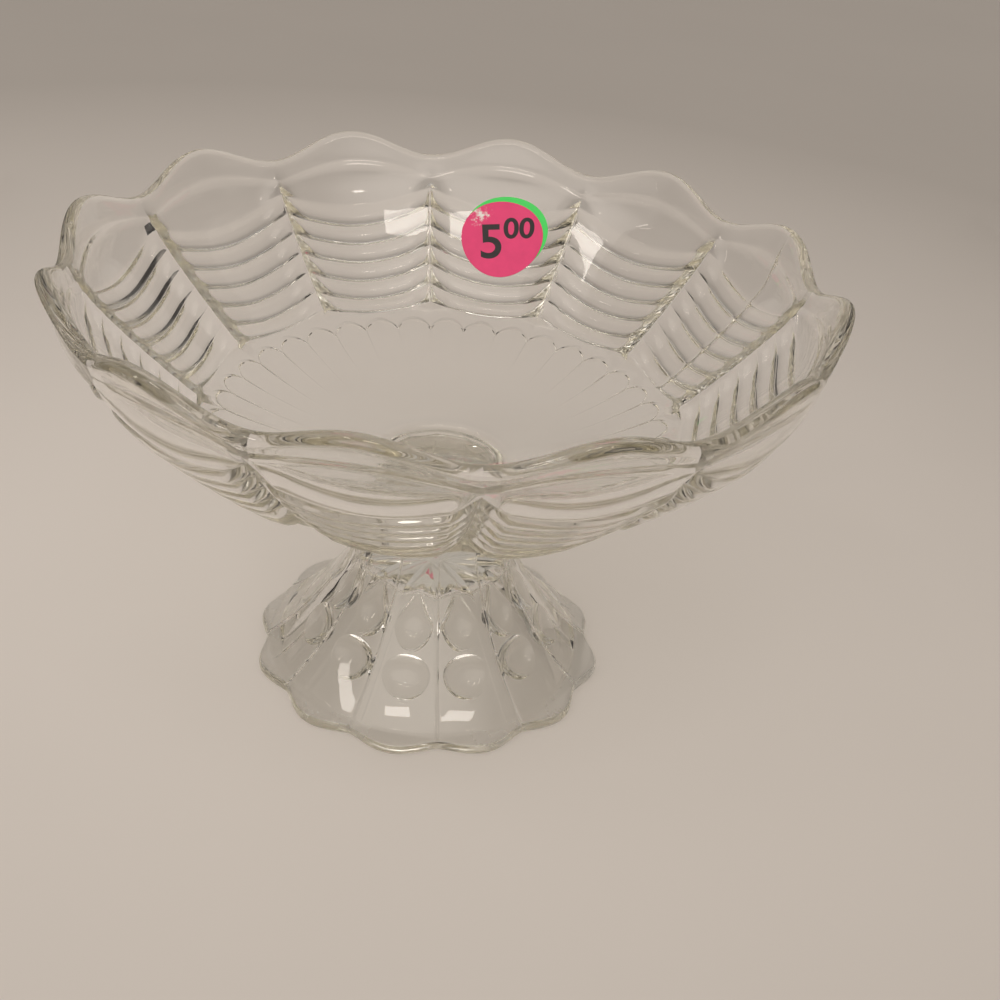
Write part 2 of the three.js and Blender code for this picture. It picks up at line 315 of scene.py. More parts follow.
# %% Columns of one panel
PANELS = 12
PETALS_PER_PANEL = 3
PETAL_STEPS = 12
SEAM_HALF_TURN = 0.0028
PANEL_ANGLE = 2 * math.pi / PANELS


def panel_turns():
    spread = np.sin(np.linspace(-math.pi / 2, math.pi / 2, PETAL_STEPS + 1))
    half_petal = PANEL_ANGLE / PETALS_PER_PANEL / 2
    middles = half_petal * (2 * np.arange(PETALS_PER_PANEL) + 1)
    petals = (middles[:, None] + half_petal * spread).ravel()
    seam = PANEL_ANGLE / 2 + SEAM_HALF_TURN * np.array([-1, 1])
    return np.unique(np.round(np.append(petals, seam), 9))


def swell_at(turn):
    return np.abs(np.sin(turn * PANELS / 2))


TURNS = panel_turns()
SWELL = swell_at(TURNS)
IN_PANEL = TURNS - PANEL_ANGLE / 2
FLAT_PANEL = math.cos(PANEL_ANGLE / 2) / np.cos(IN_PANEL)
IN_PETAL = (TURNS * PANELS * PETALS_PER_PANEL / math.pi) % 2 - 1
SEAM_COLUMN = int(np.argmin(np.abs(IN_PANEL)))
print(len(TURNS), "columns in a panel")

# %% [markdown]
# Curves measured by length
#
# A wall's profile is easiest to dress when a point on it is found by the length run along it, as with a
# tape measure. Each curve is sampled closely, its length is added up, and a run is looked up in between.
# Past its end the curve goes straight on, which the raised scallops of the rim need.

# %% Measured curves
CURVE_SAMPLES = 400


def by_length(points):
    runs = np.append(0, np.cumsum(np.linalg.norm(np.diff(points, axis=0), axis=1)))
    slopes = np.gradient(points, runs, axis=0)

    def place(run):
        run = np.asarray(run, float)
        inside = np.clip(run, 0, runs[-1])
        point = [np.interp(inside, runs, points[:, axis]) for axis in (0, 1)]
        along = [np.interp(inside, runs, slopes[:, axis]) for axis in (0, 1)]
        size = np.hypot(*along)
        along = [part / size for part in along]
        point = [start + step * (run - inside) for start, step in zip(point, along)]
        return point, along

    return place, runs


def bezier(points):
    share = np.linspace(0, 1, CURVE_SAMPLES)[:, None]
    levels = [np.array(point, float) for point in points]
    while len(levels) > 1:
        levels = [start + (end - start) * share for start, end in zip(levels, levels[1:])]
    return levels[0]


def through_stations(stations, samples):
    stations = np.array(stations, float)
    first = 2 * stations[0] - stations[1]
    last = 2 * stations[-1] - stations[-2]
    points = np.vstack([first, stations, last])
    gaps = np.sqrt(np.linalg.norm(np.diff(points, axis=0), axis=1))
    share = np.linspace(0, 1, samples, endpoint=False)[:, None]
    spans = []
    for start in range(len(stations) - 1):
        before, here, there, after = points[start:start + 4]
        gap_in, gap, gap_out = gaps[start:start + 3]
        leave = (here - before) / gap_in - (there - before) / (gap_in + gap) + (there - here) / gap
        arrive = (there - here) / gap - (after - here) / (gap + gap_out) + (after - there) / gap_out
        leave, arrive = leave * gap, arrive * gap
        square = 3 * (there - here) - 2 * leave - arrive
        cube = 2 * (here - there) + leave + arrive
        spans.append(here + share * (leave + share * (square + share * cube)))
    return np.vstack([*spans, stations[-1:]])


print("a slope of 3 by 4 mm measures", by_length(np.array([(0.0, 0.0), (3.0, 4.0)]))[1][-1], "mm")

# %% [markdown]
# The bowl's wall
#
# The wall runs from the neck over a shallow dish and the floor to the ribbed side and the rim. It is
# given by six stations of its outside on a border of two panels, in millimetres. Between its borders
# each panel bulges a little, and the ribs hang across it like a curtain while the rim rises.

# %% Wall of the bowl
NECK_RADIUS = 16.5
NECK_BEVEL = 0.5
NECK_FILLET = 4.0
STUB_HEIGHT = 3.6
WALL_STATIONS = [
    (NECK_RADIUS + NECK_FILLET, STUB_HEIGHT),
    (42.0, 8.6),
    (61.8, 17.2),
    (66.4, 20.4),
    (92.9, 48.2),
    (96.88, 58.15),
]
WALL_BULGES = [0, 0, 0.4, 1.4, 1.4, 0.3]
WALL_THICKNESSES = [6.0, 6.0, 6.0, 4.6, 4.6, 4.6]
RIB_SAGS = [0, 0, 0, 3.6, 5.8, 0]
RIM_LIFTS = [0, 0, 0, 0, 0, 6.85]
WALL_SAMPLES = 80
BOWL_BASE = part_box("bowl")[0].z / MM

wall_place, wall_runs = by_length(through_stations(WALL_STATIONS, WALL_SAMPLES))
RUNS = wall_runs[::WALL_SAMPLES]
FLOOR_RUN, RIB_FOOT_RUN, RIB_HEAD_RUN, RIM_RUN = RUNS[2:]


def wall(run, relief, swell=SWELL):
    (radius, height), (outward, upward) = wall_place(run)
    out = np.interp(run, RUNS, WALL_BULGES) * swell + relief
    return radius + upward * out, BOWL_BASE + height - outward * out


def inner_wall(run, depth=0.0, swell=SWELL):
    return wall(run, -np.interp(run, RUNS, WALL_THICKNESSES) - depth, swell)


def draped(run):
    sag = np.interp(run, RUNS, RIB_SAGS)
    lift = np.interp(run, RUNS, RIM_LIFTS)
    return run - sag * SWELL + lift * SWELL**2


print("wall of", round(RIM_RUN, 1), "mm from neck to rim")

# %% [markdown]
# Underside: neck and petals
#
# Under the floor, three petals to a panel are pressed into the outside of the glass. Seen from above
# through the floor they show as fine lines: round ends in a ring and straight borders that fade towards
# the middle. Each petal is a low crown with a groove along its borders. Its rows bend to the round end,
# and a deeper groove runs round that. The neck's flat end is dull at its edge, where it was fused.

# %% Rows of the neck and the petals
FILLET_ROWS = 9
FLOOR_ROWS = 10
PETAL_START_RUN = 12.0
PETAL_CROWN = 0.06
PETAL_STEP = 0.3
PETAL_GROOVE = 0.13
PETAL_BORDER = 0.999
PETAL_END_GROOVE = 0.38
PETAL_END_SLOPE = 1.0
PETAL_END_RUN = FLOOR_RUN - 1.0
PETAL_BEND_LENGTH = 14.0
PETAL_BEND_ROWS = 8
PETAL_ARC = 0.96
PETAL_EDGE = 0.16
UNDER_RIB_ROWS = 4
NECK_OVERLAP = 0.04
JOIN_DULL = 2.5
JOIN_HEIGHT = (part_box("pedestal")[1].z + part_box("bowl")[0].z) / 2 / MM


def level(radius, height):
    return radius + 0 * TURNS, height + 0 * TURNS


def neck_rows():
    bottom = JOIN_HEIGHT - NECK_OVERLAP / 2
    rises = np.linspace(0, math.pi / 2, FILLET_ROWS)
    rows = [level(radius, bottom) for radius in (0, NECK_RADIUS - JOIN_DULL, NECK_RADIUS - NECK_BEVEL)]
    for rise in rises[:-1]:
        radius = NECK_RADIUS + NECK_FILLET * (1 - math.cos(rise))
        height = NECK_BEVEL + (STUB_HEIGHT - NECK_BEVEL) * math.sin(rise)
        rows.append(level(radius, BOWL_BASE + height))
    return rows


def petal_relief(run):
    growth = np.clip((run - PETAL_START_RUN) / (PETAL_END_RUN - PETAL_START_RUN), 0, 1)
    groove = PETAL_GROOVE * growth * (np.abs(IN_PETAL) > PETAL_BORDER)
    return growth * (PETAL_CROWN * (1 - IN_PETAL**4) + PETAL_STEP - groove)


def petal_rows():
    half_width = WALL_STATIONS[2][0] * PANEL_ANGLE / PETALS_PER_PANEL / 2
    dip = half_width * (1 - np.sqrt(1 - (PETAL_ARC * IN_PETAL) ** 2))
    end = PETAL_END_RUN - dip
    bend_start = PETAL_END_RUN - PETAL_BEND_LENGTH
    rows = []
    for run in np.linspace(0, bend_start, FLOOR_ROWS, endpoint=False):
        rows.append(wall(run + 0 * TURNS, petal_relief(run)))
    for share in np.linspace(0, 1, PETAL_BEND_ROWS):
        run = bend_start + share * (end - PETAL_EDGE - bend_start)
        rows.append(wall(run, petal_relief(run)))
    rows.append(wall(end, petal_relief(end)))
    rows.append(wall(end + PETAL_EDGE, -PETAL_END_GROOVE))
    rows.append(wall(end + 2 * PETAL_EDGE, -PETAL_END_GROOVE))
    rows.append(wall(end + 2 * PETAL_EDGE + PETAL_END_SLOPE, 0))
    start = end + 3 * PETAL_EDGE + PETAL_END_SLOPE
    for share in np.linspace(0, 1, UNDER_RIB_ROWS + 1)[:-1]:
        rows.append(wall(start + share * (draped(RIB_FOOT_RUN) - start), 0))
    return rows


print(len(neck_rows()) + len(petal_rows()), "rows under the floor")

# %% [markdown]
# Outside: ribs and rim
#
# Six half-round ribs cross the side of every panel, with sharp grooves between them. A half circle
# walked by equal angles gives rows that crowd in the grooves, where the slope changes most. Towards its
# borders a panel falls back, so that a V lies between two panels. The top rib runs out softly into the
# plain band under the rim, and the rim is rounded over to the inside.

# %% Rows of the ribs and the rim
RIBS = 6
RIB_ROWS = 10
RIB_RELIEF = 1.1
RIB_END_LENGTH = 3.0
BORDER_ROLL = 2.6
BORDER_ROLL_LENGTH = 5.4
BAND_ROWS = 12
RIM_ROUND = 1.9
RIM_THICKNESS = 4.0
RIM_ROWS = 6


def from_border(run):
    (radius, _), _ = wall_place(run)
    return radius * (PANEL_ANGLE / 2 - np.abs(IN_PANEL))


def rib_ends(run):
    inside = np.clip(from_border(run) / RIB_END_LENGTH, 0, 1)
    return np.sqrt(1 - (1 - inside) ** 2)


def border_roll(run):
    inside = np.clip(from_border(run) / BORDER_ROLL_LENGTH, 0, 1)
    return -BORDER_ROLL * (1 - inside)


def rib_relief(share, pitch):
    arc_radius = (pitch**2 / 4 + RIB_RELIEF**2) / (2 * RIB_RELIEF)
    return math.sqrt(arc_radius**2 - (share - 0.5) ** 2 * pitch**2) - arc_radius + RIB_RELIEF


def rib_rows():
    pitch = (RIB_HEAD_RUN - RIB_FOOT_RUN) / RIBS
    rows = []
    for rib in range(RIBS):
        for angle in np.linspace(0, math.pi, RIB_ROWS, endpoint=False):
            share = (1 - math.cos(angle)) / 2
            run = RIB_FOOT_RUN + pitch * (rib + share)
            relief = rib_relief(share, pitch)
            if rib == RIBS - 1 and angle > math.pi / 2:
                relief = RIB_RELIEF * math.sin(angle) ** 2
            rows.append(wall(draped(run), relief * rib_ends(run) + border_roll(run)))
    return rows


def band_rows():
    shares = np.linspace(0, 1, BAND_ROWS, endpoint=False)
    last_run = RIM_RUN - RIM_ROUND
    rows = []
    for share in shares:
        run = RIB_HEAD_RUN + share * (last_run - RIB_HEAD_RUN)
        rows.append(wall(draped(run), border_roll(run) * (1 - share) ** 2))
    return rows


def rim_rows():
    rows = []
    for angle in np.linspace(0, math.pi / 2, RIM_ROWS):
        drop = RIM_ROUND * (1 - math.sin(angle))
        depth = RIM_ROUND * (1 - math.cos(angle))
        rows.append(wall(draped(RIM_RUN) - drop, -depth))
    for angle in np.linspace(math.pi / 2, 0, RIM_ROWS):
        drop = RIM_ROUND * (1 - math.sin(angle))
        depth = RIM_THICKNESS - RIM_ROUND * (1 - math.cos(angle))
        rows.append(wall(draped(RIM_RUN) - drop, -depth))
    return rows


print(len(rib_rows()) + len(band_rows()) + len(rim_rows()), "rows outside")

# %% [markdown]
# Inside: lip line and floor
#
# The plunger that pressed the inside had a plain band over its panels, so an arched line lies below the
# rim of every panel: a small step in the glass. Under it the inside is smooth and follows the panels,
# with a low ridge on every border, and it ends in a shallow round dish over the neck.

# %% Rows of the inside
LIP_DROP = 6.5
LIP_RISE = 4.2
LIP_ROWS = 7
LIP_EDGE = 0.25
LIP_STEP = 0.25
INNER_ROWS = 36
DISH_ROWS = 7


def lip_rows():
    start = draped(RIM_RUN) - RIM_ROUND
    end = RIM_RUN - LIP_DROP + LIP_RISE * SWELL + LIP_EDGE
    wall_thickness = np.interp(RIM_RUN, RUNS, WALL_THICKNESSES)
    rows = []
    for share in np.linspace(0, 1, LIP_ROWS)[1:]:
        depth = RIM_THICKNESS + share * (wall_thickness - LIP_STEP - RIM_THICKNESS)
        rows.append(wall(start + share * (end - start), -depth))
    return rows


def inside_rows():
    shares = np.linspace(1, 0, INNER_ROWS)
    arched = LIP_RISE * SWELL
    return [inner_wall(share * (RIM_RUN - LIP_DROP) + share**2 * arched) for share in shares]


def dish_rows():
    edge_radius, edge_height = inner_wall(0.0, swell=0.0)
    _, (outward, upward) = wall_place(0.0)
    fall = upward / outward * edge_radius / 2
    shares = np.linspace(1, 0, DISH_ROWS + 1)[1:]
    return [level(edge_radius * share, edge_height - fall * (1 - share**2)) for share in shares]


print(len(lip_rows()) + len(inside_rows()) + len(dish_rows()), "rows inside")

# %% [markdown]
# Turning a panel round the axis
#
# A panel that repeats could be copied in Python, but Geometry Nodes say it as a rule that can be changed
# later: a line of points at the axis, one panel on each, turned by its number. Realising the copies,
# welding their borders and smoothing the faces leaves one closed mesh.


# %% Tree that repeats a panel
def turn_round_axis_tree():
    tree = bpy.data.node_groups.new("turn_round_axis", "GeometryNodeTree")
    group_sockets(
        tree,
        [
            ("Panel", "NodeSocketGeometry", None),
            ("Panels", "NodeSocketInt", PANELS),
            ("Weld Distance", "NodeSocketFloat", 0.0),
            ("Finish", "NodeSocketMaterial", None),
        ],
        [("Piece", "NodeSocketGeometry")],
    )
    source = add_node(tree, "NodeGroupInput")
    result = add_node(tree, "NodeGroupOutput")
    axis = add_node(tree, "GeometryNodeMeshLine", Offset=(0, 0, 0))
    number = add_node(tree, "GeometryNodeInputIndex")
    share = add_node(tree, "ShaderNodeMath", operation="DIVIDE")
    angle = add_node(tree, "ShaderNodeMath", operation="MULTIPLY")
    angle.inputs[1].default_value = 2 * math.pi
    turned = add_node(tree, "ShaderNodeCombineXYZ")
    copies = add_node(tree, "GeometryNodeInstanceOnPoints")
    realised = add_node(tree, "GeometryNodeRealizeInstances")
    welded = add_node(tree, "GeometryNodeMergeByDistance")
    smooth = add_node(tree, "GeometryNodeSetShadeSmooth")
    finished = add_node(tree, "GeometryNodeSetMaterial")
    join(tree, source, "Panels", axis, "Count")
    join(tree, number, "Index", share, 0)
    join(tree, source, "Panels", share, 1)
    join(tree, share, 0, angle, 0)
    join(tree, angle, 0, turned, "Z")
    join(tree, axis, "Mesh", copies, "Points")
    join(tree, source, "Panel", copies, "Instance")
    join(tree, turned, "Vector", copies, "Rotation")
    join(tree, copies, "Instances", realised, "Geometry")
    join(tree, realised, "Geometry", welded, "Geometry")
    join(tree, source, "Weld Distance", welded, "Distance")
    join(tree, welded, "Geometry", smooth, "Geometry")
    join(tree, smooth, "Geometry", finished, "Geometry")
    join(tree, source, "Finish", finished, "Material")
    join(tree, finished, "Geometry", result, "Piece")
    return tree


TURN_ROUND_AXIS = turn_round_axis_tree()
print("tree", TURN_ROUND_AXIS.name)

# %% [markdown]
# From rows to a piece
#
# A panel's rows become a mesh of quads. Rows may share their columns or bring their own. One attribute
# marks the points of the mould seam, another the rows where the glass is worn. The tree turns the panel
# round the axis, and the evaluated result replaces the mesh, so that the finished piece is plain geometry
# without a modifier.

# %% Panel mesh and piece
WELD_DISTANCE = 0.001 * MM


def panel_mesh(name, rows, turns, seam_rows, worn_rows):
    radius, height = np.swapaxes(np.array(rows), 0, 1)
    points = np.stack([radius * np.cos(turns), radius * np.sin(turns), height], -1) * MM
    columns = len(TURNS)
    corner = np.arange((len(rows) - 1) * columns).reshape(-1, columns)[:, :-1].ravel()
    quads = np.stack([corner, corner + 1, corner + columns + 1, corner + columns], -1)
    mesh = bpy.data.meshes.new(name)
    mesh.from_pydata(points.reshape(-1, 3).tolist(), [], quads.tolist())
    seam, worn = np.zeros((2, len(rows), columns), np.float32)
    seam[seam_rows, SEAM_COLUMN] = 1
    worn[worn_rows] = 1
    for title, values in (("seam", seam), ("worn", worn)):
        mesh.attributes.new(title, "FLOAT", "POINT").data.foreach_set("value", values.ravel())
    return mesh


def turned_piece(name, rows, turns, seam_rows, worn_rows, material):
    piece = add_object(name, panel_mesh(name, rows, turns, seam_rows, worn_rows))
    modifier = piece.modifiers.new("turn_round_axis", "NODES")
    modifier.node_group = TURN_ROUND_AXIS
    values = {"Panels": PANELS, "Weld Distance": WELD_DISTANCE, "Finish": material}
    for socket in TURN_ROUND_AXIS.interface.items_tree:
        if socket.in_out == "INPUT" and socket.name in values:
            modifier[socket.identifier] = values[socket.name]
    evaluated = piece.evaluated_get(bpy.context.evaluated_depsgraph_get())
    mesh = bpy.data.meshes.new_from_object(evaluated)
    piece.modifiers.clear()
    piece.data = mesh
    return piece


print("panels weld within", WELD_DISTANCE / MM, "mm")

# %% [markdown]
# Traces of making
#
# Two things on the real dish don't repeat twelve times. The mould opened along one line, which left a
# fine seam up two opposite panels, and the hot foot was fused to the bowl by hand, so their join is
# uneven. Both are given to the turned meshes by moving points, by a rule with no chance in it.

# %% Mould seam and uneven join
SEAM_HEIGHT = 0.12
SEAM_PANELS = (0, 6)
MARKED = 0.5
JOIN_REACH = 3.0
JOIN_WAVES = [(2, 0.4, 0.2), (5, 1.9, 0.12), (9, 0.7, 0.05)]


def mesh_points(mesh):
    points = np.empty(len(mesh.vertices) * 3, np.float32)
    mesh.vertices.foreach_get("co", points)
    return points.reshape(-1, 3)


def set_mesh_points(mesh, points):
    mesh.vertices.foreach_set("co", points.astype(np.float32).ravel())
    mesh.update()


def raise_seam(mesh):
    seam = np.empty(len(mesh.vertices), np.float32)
    mesh.attributes["seam"].data.foreach_get("value", seam)
    points = mesh_points(mesh)
    normals = np.array([vertex.normal for vertex in mesh.vertices])
    panel = np.floor(np.arctan2(points[:, 1], points[:, 0]) % (2 * math.pi) / PANEL_ANGLE)
    on_seam = np.isin(panel, SEAM_PANELS) & (seam > MARKED)
    points[on_seam] += normals[on_seam] * SEAM_HEIGHT * MM
    set_mesh_points(mesh, points)
    mesh.attributes.remove(mesh.attributes["seam"])
    return int(on_seam.sum())


def make_join_uneven(mesh):
    points = mesh_points(mesh)
    turn = np.arctan2(points[:, 1], points[:, 0])
    near = np.clip(1 - np.abs(points[:, 2] / MM - JOIN_HEIGHT) / JOIN_REACH, 0, 1) ** 2
    wave = sum(size * np.sin(count * turn + start) for count, start, size in JOIN_WAVES)
    points[:, :2] *= (1 + near * wave / NECK_RADIUS)[:, None]
    set_mesh_points(mesh, points)


print("a seam of", SEAM_HEIGHT, "mm and a join uneven within", JOIN_REACH, "mm")

# %% [markdown]
# The bowl
#
# All rows together, from the pole under the neck over the rim to the pole of the floor, make the bowl.
# It stands for the CAD bowl, rides on the dish's one body and takes the glass slot.


# %% Bowl
def bowl_piece():
    under = neck_rows() + petal_rows()
    outside = rib_rows() + band_rows()
    rows = under + outside + rim_rows() + lip_rows() + inside_rows() + dish_rows()
    seam_rows = slice(len(under), len(under) + len(outside))
    join_edge = 2
    piece = turned_piece("pressed_bowl", rows, TURNS, seam_rows, [join_edge], CLEAR_GLASS)
    seam_points = raise_seam(piece.data)
    make_join_uneven(piece.data)
    print(piece.name, len(piece.data.polygons), "faces,", seam_points, "seam points")
    return piece


bowl = bowl_piece()
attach(bowl, "root")
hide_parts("bowl")

# %% [markdown]
# The pedestal
#
# The foot is a hollow flare: smooth panels with V creases between them outside, and inside the hollow a
# round and a drop-shaped boss on every panel, which act as small lenses. The columns inside follow the
# outlines of the bosses, so that these stay round with few faces. The hollow ends in a dome with a waved
# edge. The foot's lip stands upright, is scalloped like the rim, and has a crisp edge above it.

# %% Curves of the pedestal
NECK_EDGE_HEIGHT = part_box("pedestal")[1].z / MM - NECK_BEVEL
STEM_RADIUS = 17.5
STEM_LENGTH = 18.7
FLARE = (31.5, 14.3)
HOLLOW_FLARE = (29.0, 13.5)
FOOT_NOTCH_RADIUS = 46.7
FOOT_LIP_HEIGHT = 3.5
FOOT_RING_WIDTH = 5.0
HOLLOW_TOP = (19.0, 29.0)
HOLLOW_DOME = 3.0

outside_place, outside_runs = by_length(bezier([
    (FOOT_NOTCH_RADIUS, FOOT_LIP_HEIGHT),
    FLARE,
    (STEM_RADIUS, NECK_EDGE_HEIGHT - STEM_LENGTH),
    (NECK_RADIUS, NECK_EDGE_HEIGHT),
]))
hollow_place, hollow_runs = by_length(bezier([
    (FOOT_NOTCH_RADIUS - FOOT_RING_WIDTH, 0),
    HOLLOW_FLARE,
    HOLLOW_TOP,
]))
print("hollow of", round(hollow_runs[-1], 1), "mm from ring to dome")

# %% Rows of the hollow
BOSS_RELIEF = 2.2
BOSS_FULLNESS = 1.4
ROUND_BOSS = (15.5, 13.5, 12.5, 0.0)
DROP_BOSS = (30.0, 10.8, 15.0, 0.5)
BOSS_ROWS = 28
BOSS_COLUMN = 1 / PETALS_PER_PANEL
BOSS_TIP = 0.02
BOSS_LOOSENING = 4.0
RING_ROWS = 7
DOME_ROWS = 8
DOME_WAVE = 1.6
DOME_WAVE_REACH = 6.0


def boss_at(run):
    nearest = BOSS_LOOSENING
    for middle, width, length, taper in (ROUND_BOSS, DROP_BOSS):
        along = 2 * (run - middle) / length
        if abs(along) < 1:
            half_width = width / 2 * (1 - taper * max(along, 0)) * math.sqrt(1 - along**2)
            return half_width, along, 0.0
        nearest = min(nearest, abs(run - middle) - length / 2)
    return 0.0, 1.0, nearest / BOSS_LOOSENING


def boss_columns(edge):
    share = IN_PANEL / (PANEL_ANGLE / 2)
    beyond = (np.abs(share) - BOSS_COLUMN) / (1 - BOSS_COLUMN)
    outer = np.sign(share) * (edge + beyond * (1 - edge))
    inner = share / BOSS_COLUMN * edge
    return PANEL_ANGLE / 2 * (1 + np.where(beyond > 0, outer, inner))


def hollow_row(run):
    (radius, height), (inward, upward) = hollow_place(run)
    half_width, along, loose = boss_at(run)
    edge = max(half_width / radius / (PANEL_ANGLE / 2), BOSS_TIP + loose * (BOSS_COLUMN - BOSS_TIP))
    inside = np.clip(np.abs(IN_PANEL) / (PANEL_ANGLE / 2) / BOSS_COLUMN, 0, 1)
    reach = along**2 + (1 - along**2) * inside**2
    relief = BOSS_RELIEF * np.clip(1 - reach**BOSS_FULLNESS, 0, None)
    turns = boss_columns(edge)
    wave = DOME_WAVE * np.clip(1 - (hollow_runs[-1] - run) / DOME_WAVE_REACH, 0, 1) ** 2 * swell_at(turns)
    return radius - upward * relief, height + inward * relief + wave, turns


def hollow_rows():
    around = np.linspace(0, math.pi, BOSS_ROWS)
    runs = [np.linspace(0, ROUND_BOSS[0] - ROUND_BOSS[2] / 2, RING_ROWS, endpoint=False)]
    runs += [middle - length / 2 * np.cos(around) for middle, _, length, _ in (ROUND_BOSS, DROP_BOSS)]
    runs = np.unique(np.minimum(np.concatenate(runs), hollow_runs[-1]))
    rows = [hollow_row(run) for run in runs[::-1]]
    dome = []
    for rise in np.linspace(math.pi / 2, 0, DOME_ROWS, endpoint=False):
        turns = rows[0][2]
        height = HOLLOW_TOP[1] + HOLLOW_DOME * math.sin(rise)
        wave = DOME_WAVE * math.cos(rise) ** 2 * swell_at(turns)
        dome.append((HOLLOW_TOP[0] * math.cos(rise) + 0 * turns, height + wave, turns))
    return dome + rows


print(len(hollow_rows()), "rows in the hollow")

# %% Rows of the foot's outside
FOOT_LOBE = 3.3
FOOT_LOBE_FULLNESS = 1.5
FOOT_EDGE_ROUND = 0.9
FOOT_EDGE_ROWS = 5
LIP_LEAN = 3.0
LIP_RISING = 1.5
FOOT_LIP_ROWS = 10
PANEL_CROWN = 0.5
CREASE_SLOPE = 2.0
CREASE_HALF_TURN = math.radians(0.67)
CREASE_END = 0.25
LIP_EDGE_SHARE = 0.004
OUTSIDE_ROWS = 27


def outside_wall(share):
    (radius, height), _ = outside_place(share * outside_runs[-1])
    beside = np.clip(CREASE_HALF_TURN - PANEL_ANGLE / 2 + np.abs(IN_PANEL), 0, None)
    crease = min(1, (1 - share) / CREASE_END) * CREASE_SLOPE * radius * beside
    crown = (1 - share) * PANEL_CROWN * SWELL
    return radius * FLAT_PANEL + crown - crease, height + 0 * TURNS


def foot_lip_rows():
    outline = FOOT_NOTCH_RADIUS + FOOT_LOBE * SWELL**FOOT_LOBE_FULLNESS
    rows = []
    for angle in np.linspace(0, math.pi / 2, FOOT_EDGE_ROWS):
        radius = outline - FOOT_EDGE_ROUND * (1 - math.sin(angle))
        rows.append((radius, FOOT_EDGE_ROUND * (1 - math.cos(angle)) + 0 * TURNS))
    top_radius, top_height = outside_wall(0)
    for share in np.linspace(0, 1, FOOT_LIP_ROWS + 1)[1:-1]:
        lean = share**LIP_LEAN
        rise = 1 - (1 - share) ** LIP_RISING
        radius = outline + (top_radius - outline) * lean
        rows.append((radius, FOOT_EDGE_ROUND + (top_height - FOOT_EDGE_ROUND) * rise))
    return rows


def stem_rows():
    shares = np.insert(np.linspace(0, 1, OUTSIDE_ROWS - 1), 1, LIP_EDGE_SHARE)
    rows = [outside_wall(share) for share in shares]
    top = JOIN_HEIGHT + NECK_OVERLAP / 2
    neck_edge = NECK_RADIUS * FLAT_PANEL - NECK_BEVEL
    inner_edge = NECK_RADIUS - JOIN_DULL
    return rows + [(neck_edge, top + 0 * TURNS), level(inner_edge, top), level(0, top)]


print(len(foot_lip_rows()) + len(stem_rows()), "rows outside the foot")


# %% Pedestal
def pedestal_piece():
    *hollow, turns = zip(*hollow_rows())
    hollow = list(zip(*hollow))
    lip = foot_lip_rows()
    stem = stem_rows()
    turns = [*turns, *[TURNS] * len(lip + stem)]
    seam_rows = slice(len(hollow) + len(lip), len(hollow) + len(lip) + OUTSIDE_ROWS)
    dome_edge = DOME_ROWS - 1
    standing_ring = len(hollow)
    rows = hollow + lip + stem
    neck_edge = len(rows) - 3
    worn_rows = [dome_edge, standing_ring - 1, standing_ring, neck_edge]
    piece = turned_piece("pressed_pedestal", rows, np.array(turns), seam_rows, worn_rows, CLEAR_GLASS)
    seam_points = raise_seam(piece.data)
    make_join_uneven(piece.data)
    print(piece.name, len(piece.data.polygons), "faces,", seam_points, "seam points")
    return piece


pedestal = pedestal_piece()
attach(pedestal, "root")
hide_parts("pedestal")

# %% [markdown]
# Price labels
#
# Two round paper labels are stuck over each other inside one panel. Each is first a flat disc with a
# thickness, drawn to the right and up from its middle. A mapping then lays it on the inside of the wall,
# so that it follows the panel's curve, with a hair's gap of glue to the glass. The backs are bare paper.

# %% Label paper
PINK_DYE = (0.77, 0.074, 0.206, 1)
GREEN_DYE = (0.09, 0.72, 0.15, 1)
BARE_PAPER = (0.66, 0.62, 0.56, 1)
LABEL_PANEL = 2
LABEL_DROP = 26.0
LABEL_SIDESTEP = 1.3
LABEL_DIAMETER = 25.4
LABEL_THICKNESS = 0.14
LABEL_ROWS = 8
LABEL_COLUMNS = 64
GLUE_GAP = 0.02
PAPER_ROUGHNESS = 0.75
PAPER_GLOSS = 0.25
FIBRE_STRENGTH = 0.3
FIBRE_DEPTH = 0.05
SCUFF_MIDDLE = (-8.0, 7.0, 0.3)
SCUFF_REACH = 7.0
SMALL_SCUFF_REACH = 3.0
SCUFF_SHARES = (0.62, 0.2)
UNDER_LABEL_STEP = (1.0, 1.9)


def on_panel(points, shift=(0.0, 0.0)):
    middle_turn = (LABEL_PANEL + 0.5) * PANEL_ANGLE
    middle_run = RIM_RUN - LABEL_DROP
    middle_radius, _ = inner_wall(middle_run, swell=1.0)
    right, up, depth = np.array(points, float).T
    turn = middle_turn - (LABEL_SIDESTEP + shift[0] + right) / middle_radius
    radius, height = inner_wall(middle_run + shift[1] + up, depth, swell_at(turn))
    return np.stack([radius * np.cos(turn), radius * np.sin(turn), height], -1) * MM


def label_paper(name, dye, scuff_reach):
    material, tree, shader = new_material(name)
    shader.inputs["Roughness"].default_value = PAPER_ROUGHNESS
    shader.inputs["Specular IOR Level"].default_value = PAPER_GLOSS
    place = add_node(tree, "ShaderNodeTexCoord")
    paper = add_node(tree, "ShaderNodeGroup")
    paper.node_tree = PAPER
    paper.inputs["Dye"].default_value = dye
    away = add_node(tree, "ShaderNodeVectorMath", operation="DISTANCE")
    away.inputs[1].default_value = on_panel([SCUFF_MIDDLE])[0]
    scuff = add_range(tree, (0.0, scuff_reach * MM), SCUFF_SHARES)
    bump = add_node(tree, "ShaderNodeBump", Strength=FIBRE_STRENGTH, Distance=FIBRE_DEPTH * MM)
    join(tree, place, "Object", paper, "Vector")
    join(tree, place, "Object", away, 0)
    join(tree, away, "Value", scuff, "Value")
    join(tree, scuff, "Result", paper, "Scuff")
    join(tree, paper, "Color", shader, "Base Color")
    join(tree, paper, "Fibre", bump, "Height")
    join(tree, bump, "Normal", shader, "Normal")
    return material


